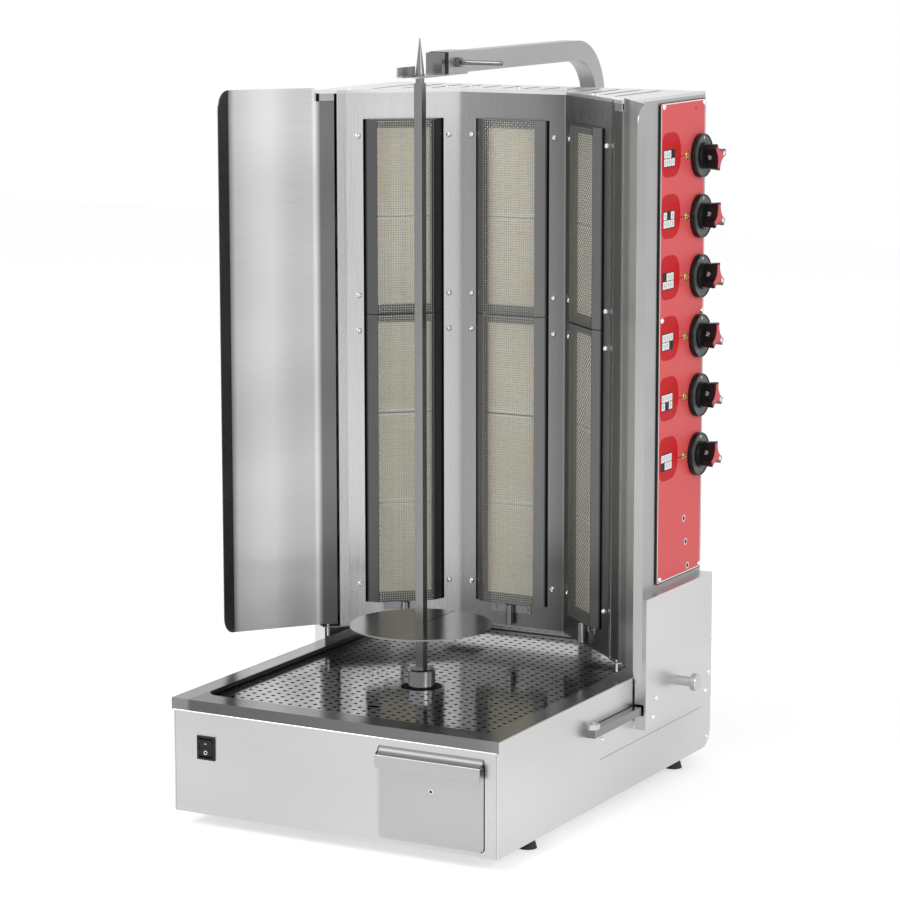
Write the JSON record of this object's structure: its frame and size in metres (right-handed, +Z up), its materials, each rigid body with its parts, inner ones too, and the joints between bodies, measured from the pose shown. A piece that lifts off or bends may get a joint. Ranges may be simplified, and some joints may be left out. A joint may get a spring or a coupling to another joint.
{
  "type": "doner kebab grill",
  "caption": "Countertop vertical rotisserie grill: low steel cabinet with drip tray and fat drawer, turning spit, folding wings and a sliding gas burner tower with side knobs.",
  "frame": {"origin": "centre of the overall plan outline at the level of the feet's undersides", "axes": "+Z up, +X to the right seen from the front, -Y toward the user"},
  "size_m": [0.6504, 0.7986, 1.066],
  "materials": {
    "steel": "brushed",
    "tray_steel": "polished",
    "mesh_steel": "matte",
    "bright_metal": "polished",
    "brass": "satin",
    "red_panel": "satin",
    "motor_paint": "satin",
    "black_plastic": "satin",
    "foot_rubber": "matte",
    "ceramic": "matte"
  },
  "bodies": {
    "base": {"side_panel_left": "steel", "side_panel_right": "steel", "base_wrap": "steel", "front_panel": "steel", "feet": "foot_rubber", "drip_tray": "steel", "slide_rails": "steel", "rail_fasteners": "bright_metal", "gear_motor": "motor_paint", "motor_bracket": "steel", "drawer_runners": "steel", "switch_bezel": "black_plastic", "cable_gland": "black_plastic", "arm_tube": "steel", "arm_end_block": "steel", "arm_stop_ring": "black_plastic", "arm_brackets": "steel"},
    "plate": {"perforated_plate": "tray_steel"},
    "spit": {"drive_socket": "bright_metal", "spit_bar": "steel", "meat_disc": "steel"},
    "drawer": {"drawer_front": "steel", "drawer_box": "steel"},
    "rocker": {"switch_rocker": "black_plastic"},
    "retainer": {"spit_retainer": "steel"},
    "lever": {"lock_lever": "bright_metal"},
    "tower": {"tower_shell": "steel", "top_cover": "steel", "tower_floor": "steel", "burner_front": "steel", "burner_left": "steel", "burner_centre": "steel", "burner_right": "steel", "ceramic_plates": "ceramic", "burner_meshes": "mesh_steel", "injectors": "brass", "gas_manifold": "steel", "gas_valves": "brass", "pilots": "bright_metal", "control_panel": "red_panel", "knob_bezels": "black_plastic", "bypass_screws": "brass", "panel_screws": "bright_metal", "skirt_left": "steel", "skirt_right": "steel", "skirt_screws": "bright_metal", "slide_blocks": "black_plastic", "clamp_boss": "steel", "hinge_brackets": "steel", "hinge_pins": "bright_metal"},
    "clamp": {"clamp_screw": "bright_metal"},
    "wing_left": {"wing_left": "steel"},
    "wing_right": {"wing_right": "steel"},
    "knob_1": {"knob_1": "black_plastic"},
    "knob_2": {"knob_2": "black_plastic"},
    "knob_3": {"knob_3": "black_plastic"},
    "knob_4": {"knob_4": "black_plastic"},
    "knob_5": {"knob_5": "black_plastic"},
    "knob_6": {"knob_6": "black_plastic"}
  },
  "joints": [
    {"name": "plate_lift", "type": "slide", "parent": "base", "child": "plate", "axis": [0, 0, 1], "range_m": [0, 0.025]},
    {"name": "spit_turn", "type": "hinge", "parent": "base", "child": "spit", "pos_m": [0, -0.14275, 0.22], "axis": [0, 0, 1], "continuous": true},
    {"name": "drawer_slide", "type": "slide", "parent": "base", "child": "drawer", "axis": [0, -1, 0], "range_m": [0, 0.26]},
    {"name": "switch_rock", "type": "hinge", "parent": "base", "child": "rocker", "pos_m": [-0.198, -0.38325, 0.1135], "axis": [1, 0, 0], "range_deg": [-12, 12]},
    {"name": "retainer_slide", "type": "slide", "parent": "base", "child": "retainer", "axis": [0, 1, 0], "range_m": [0, 0.09]},
    {"name": "lever_turn", "type": "hinge", "parent": "retainer", "child": "lever", "pos_m": [0.017, -0.06275, 1.03], "axis": [1, 0, 0], "range_deg": [0, 90]},
    {"name": "tower_slide", "type": "slide", "parent": "base", "child": "tower", "axis": [0, -1, 0], "range_m": [0, 0.13]},
    {"name": "clamp_turn", "type": "hinge", "parent": "tower", "child": "clamp", "pos_m": [0.275, 0.12625, 0.152], "axis": [1, 0, 0], "range_deg": [0, 360]},
    {"name": "wing_right_turn", "type": "hinge", "parent": "tower", "child": "wing_right", "pos_m": [0.2335, -0.00375, 0.52], "axis": [0, 0, -1], "range_deg": [-12, 80]},
    {"name": "wing_left_turn", "type": "hinge", "parent": "tower", "child": "wing_left", "pos_m": [-0.2335, -0.00375, 0.52], "axis": [0, 0, 1], "range_deg": [-12, 80]},
    {"name": "knob_1_turn", "type": "hinge", "parent": "tower", "child": "knob_1", "pos_m": [0.265, 0.21625, 0.892], "axis": [1, 0, 0], "range_deg": [0, 210]},
    {"name": "knob_2_turn", "type": "hinge", "parent": "tower", "child": "knob_2", "pos_m": [0.265, 0.21625, 0.8065], "axis": [1, 0, 0], "range_deg": [0, 210]},
    {"name": "knob_3_turn", "type": "hinge", "parent": "tower", "child": "knob_3", "pos_m": [0.265, 0.21625, 0.721], "axis": [1, 0, 0], "range_deg": [0, 210]},
    {"name": "knob_4_turn", "type": "hinge", "parent": "tower", "child": "knob_4", "pos_m": [0.265, 0.21625, 0.6355], "axis": [1, 0, 0], "range_deg": [0, 210]},
    {"name": "knob_5_turn", "type": "hinge", "parent": "tower", "child": "knob_5", "pos_m": [0.265, 0.21625, 0.55], "axis": [1, 0, 0], "range_deg": [0, 210]},
    {"name": "knob_6_turn", "type": "hinge", "parent": "tower", "child": "knob_6", "pos_m": [0.265, 0.21625, 0.4645], "axis": [1, 0, 0], "range_deg": [0, 210]}
  ]
}
